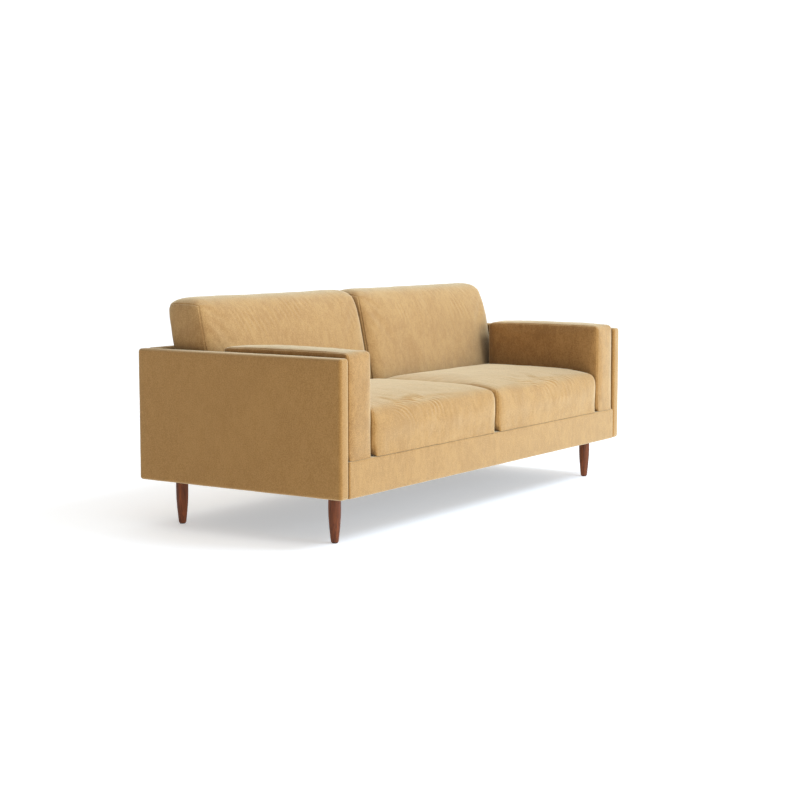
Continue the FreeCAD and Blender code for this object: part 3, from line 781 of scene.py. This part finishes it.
def stretched_cloth(name, node, slot, profile, thick, seed):
    """A cloth pulled tight over a profile and tacked round its rim, with faint pull marks.

    profile lists the (y, z) corners of its shown face.
    """
    low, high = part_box(node)
    rows, outward = along(profile, CLOTH_CELL)
    across = np.linspace(low.x, high.x, round((high.x - low.x) / CLOTH_CELL) + 1)
    wide, long = len(across), len(rows)
    run = np.concatenate([[0], np.cumsum(np.linalg.norm(np.diff(rows, axis=0), axis=1))])
    shown, hidden = [], []
    for x in across:
        inward = min(x - low.x, high.x - x)
        for row, out, place in zip(rows, outward, run):
            rim = min(inward, place, run[-1] - place)
            round_rim = x if place in (0, run[-1]) else place
            tack = 0.5 + 0.5 * math.sin(2 * math.pi * round_rim / TACKS_APART)
            pull = TACK_PULL * tack * math.exp(-rim / PULL_REACH)
            wave = SLACK * noise.noise(Vector((x * 9 + seed, place * 14, seed)))
            depth = pull + abs(wave)
            for face, extra in ((shown, 0), (hidden, thick)):
                face.append((x, *(row - out * (depth + extra))))
    count = len(shown)
    faces = []
    for i in range(wide - 1):
        for j in range(long - 1):
            a = i * long + j
            ring = (a, a + 1, a + long + 1, a + long)
            faces.append(ring)
            faces.append(tuple(count + v for v in ring[::-1]))
    rim = list(range(long)) + [i * long + long - 1 for i in range(1, wide)]
    rim += [(wide - 1) * long + j for j in range(long - 2, -1, -1)]
    rim += [i * long for i in range(wide - 2, 0, -1)]
    for a, b in zip(rim, rim[1:] + rim[:1]):
        faces.append((b, a, count + a, count + b))
    cloth = mesh_object(name, shown + hidden, faces)
    finish_piece(cloth, "base", slot, [node])


def build_cloths():
    low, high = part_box("deck_cloth")
    stretched_cloth(
        "deck_lining", "deck_cloth", "lining", [(high.y, high.z), (low.y, high.z)],
        thick=0.0009, seed=31,
    )
    low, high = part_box("inside_back_lining")
    top_front = low.y + (high.z - low.z) * RECLINE
    over, front, drop = 0.006, 0.0004, 0.004  # where the lining turns down over its top edge
    bends = [(top_front + over, high.z), (top_front + front, high.z - drop)]
    stretched_cloth(
        "inside_back_lining_cloth", "inside_back_lining", "lining",
        [(high.y, high.z), *bends, (low.y, low.z)],
        thick=0.0014, seed=37,
    )
    low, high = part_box("dust_cover")
    stretched_cloth(
        "underside_dust_cover", "dust_cover", "dust_cloth", [(low.y, low.z), (high.y, low.z)],
        thick=0.0004, seed=41,
    )


# Legs --------------------------------------------------------------------------------------

SEGMENTS = 72  # points round a leg
# Places on a leg's outline, as shares of its radius and of its height.
TAPER_MIDDLE, KNEE, WIDEST = (0.805, 0.26), (0.97, 0.555), (1.0, 0.74)
FOOT_SHARE, TOP_SHARE = 0.6, 0.97
FOOT_CHAMFER, TOP_ROUND = 0.0022, 0.001


def lathe(name, outline, place):
    """A turned piece from (radius, height) pairs, bottom to top, closed at both ends."""
    points, faces = [], []
    for radius, height in outline:
        for i in range(SEGMENTS):
            turn = 2 * math.pi * i / SEGMENTS
            points.append((place.x + radius * math.cos(turn), place.y + radius * math.sin(turn), height))
    for ring in range(len(outline) - 1):
        for i in range(SEGMENTS):
            j = (i + 1) % SEGMENTS
            a = ring * SEGMENTS
            faces.append((a + i, a + j, a + SEGMENTS + j, a + SEGMENTS + i))
    faces.append(tuple(range(SEGMENTS))[::-1])
    faces.append(tuple(range((len(outline) - 1) * SEGMENTS, len(outline) * SEGMENTS)))
    return mesh_object(name, points, faces)


def through(a, b, c, count):
    """Points on the parabola through three (radius, height) points."""
    rows = []
    for height in np.linspace(a[1], c[1], count):
        value = 0.0
        for p, q, r in ((a, b, c), (b, a, c), (c, a, b)):
            value += p[0] * (height - q[1]) * (height - r[1]) / ((p[1] - q[1]) * (p[1] - r[1]))
        rows.append((value, height))
    return rows


def leg_outline(radius, low, high):
    """Foot with a small chamfer, a curved taper to mid height, a slight swell above it."""
    tall = high - low
    foot, top = FOOT_SHARE * radius, TOP_SHARE * radius
    middle, knee, widest = (
        (share * radius, low + up * tall) for share, up in (TAPER_MIDDLE, KNEE, WIDEST)
    )
    taper = through((foot, low + FOOT_CHAMFER), middle, knee, 16)
    swell = through(knee, widest, (top, high - TOP_ROUND), 12)
    rim = [(0.3 * foot, low), (foot - 0.0019, low), (foot - 0.0007, low + 0.0008)]
    return rim + taper + swell[1:] + [(top - 0.0006, high - 0.0002), (0.5 * top, high)]


def build_legs():
    for end in ("front", "rear"):
        for side in ("left", "right"):
            node = f"leg_{end}_{side}"
            low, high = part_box(node)
            radius = (high.x - low.x) / 2
            middle = (low + high) / 2
            leg = lathe(f"{node}_turned", leg_outline(radius, low.z, high.z), middle)
            finish_piece(leg, "base", "walnut", [node])


# Carried-over CAD pieces -------------------------------------------------------------------


def dress_cad_nodes():
    slots = {row["node"]: row["material_slot"] for row in frame["record"]["subparts"]}
    for name, thing in frame["nodes"].items():
        dress(thing, slots[name])


# Studio ------------------------------------------------------------------------------------

KEY_COLOUR = (0.83, 1.02, 1.24)
FLOOR_REACH = 14
LIT_SIDE = (0.75, -0.66, 0.0)  # the side of the room that the soft light comes from
DIM_FROM, LIT_FROM = -0.52, 0.0  # how far towards that side the room is dim, and fully lit
DIM_LIGHT, FULL_LIGHT = 0.12, 1.18
DIM_COLOUR, FULL_COLOUR = (1.0, 0.8, 0.54, 1), (0.97, 1.0, 1.02, 1)


def area_light(name, place, aim, size, power):
    data = bpy.data.lights.new(name, "AREA")
    data.shape = "RECTANGLE"
    data.size, data.size_y = size
    data.energy = power
    data.color = KEY_COLOUR
    lamp = bpy.data.objects.new(name, data)
    lamp.location = place
    lamp.rotation_euler = (Vector(aim) - Vector(place)).to_track_quat("-Z", "Y").to_euler()
    bpy.context.scene.collection.objects.link(lamp)


def build_floor():
    corners = [(x * FLOOR_REACH, y * FLOOR_REACH, 0) for x, y in ((-1, -1), (1, -1), (1, 1), (-1, 1))]
    floor = mesh_object("floor", corners, [(0, 1, 2, 3)], smooth=False)
    paper = Nodes("paper")
    paper.set(Base_Color=(0.8, 0.8, 0.8), Roughness=0.9, Specular_IOR_Level=0.0)
    paper.set(Emission_Color=(1.0, 1.0, 1.0), Emission_Strength=0.43)
    floor.data.materials.append(paper.material)


def build_room():
    """The light from all round: pale and strong from one side, warm and dim from the other."""
    world = bpy.data.worlds.new("studio")
    world.use_nodes = True
    tree = world.node_tree
    background = tree.nodes["Background"]
    direction = tree.nodes.new("ShaderNodeTexCoord").outputs["Generated"]
    turned = tree.nodes.new("ShaderNodeVectorMath")
    turned.operation = "DOT_PRODUCT"
    turned.inputs[1].default_value = LIT_SIDE
    tree.links.new(direction, turned.inputs[0])
    ramp = tree.nodes.new("ShaderNodeMapRange")
    ramp.interpolation_type = "SMOOTHSTEP"
    ramp.inputs["From Min"].default_value = DIM_FROM
    ramp.inputs["From Max"].default_value = LIT_FROM
    ramp.inputs["To Min"].default_value = DIM_LIGHT
    ramp.inputs["To Max"].default_value = FULL_LIGHT
    tree.links.new(turned.outputs["Value"], ramp.inputs["Value"])
    tree.links.new(ramp.outputs["Result"], background.inputs["Strength"])
    tint = tree.nodes.new("ShaderNodeMix")
    tint.data_type = "RGBA"
    tint.inputs[COLOUR_A].default_value = DIM_COLOUR
    tint.inputs[COLOUR_B].default_value = FULL_COLOUR
    tree.links.new(ramp.outputs["Result"], tint.inputs["Factor"])
    tree.links.new(tint.outputs[COLOUR_OUT], background.inputs["Color"])
    bpy.context.scene.world = world


def build_studio():
    build_floor()
    build_room()
    area_light("key", place=(1.1, -3.7, 4.6), aim=(0, 0, 0.4), size=(2.0, 2.0), power=152)
    area_light("front", place=(0.2, -6.5, 2.0), aim=(0, 0, 0.5), size=(3.0, 2.0), power=84)


CAMERA_PLACE = (-5.6141, -3.7355, 1.1082)
CAMERA_YAW, CAMERA_PITCH = math.radians(56.336), math.radians(5.951)  # from +Y to +X, and down
LENS, SENSOR = 74.28, 36  # millimetres


def build_camera():
    data = bpy.data.cameras.new("camera")
    data.lens, data.sensor_width = LENS, SENSOR
    camera = bpy.data.objects.new("camera", data)
    camera.location = CAMERA_PLACE
    level = math.cos(CAMERA_PITCH)
    look = Vector((math.sin(CAMERA_YAW) * level, math.cos(CAMERA_YAW) * level, -math.sin(CAMERA_PITCH)))
    camera.rotation_euler = look.to_track_quat("-Z", "Y").to_euler()
    bpy.context.scene.collection.objects.link(camera)
    bpy.context.scene.camera = camera
    bpy.context.scene.view_settings.view_transform = "Standard"
    bpy.context.scene.view_settings.look = "None"


build_camera()
dress_cad_nodes()
build_panels()
build_cushions()
build_cloths()
build_legs()
build_studio()
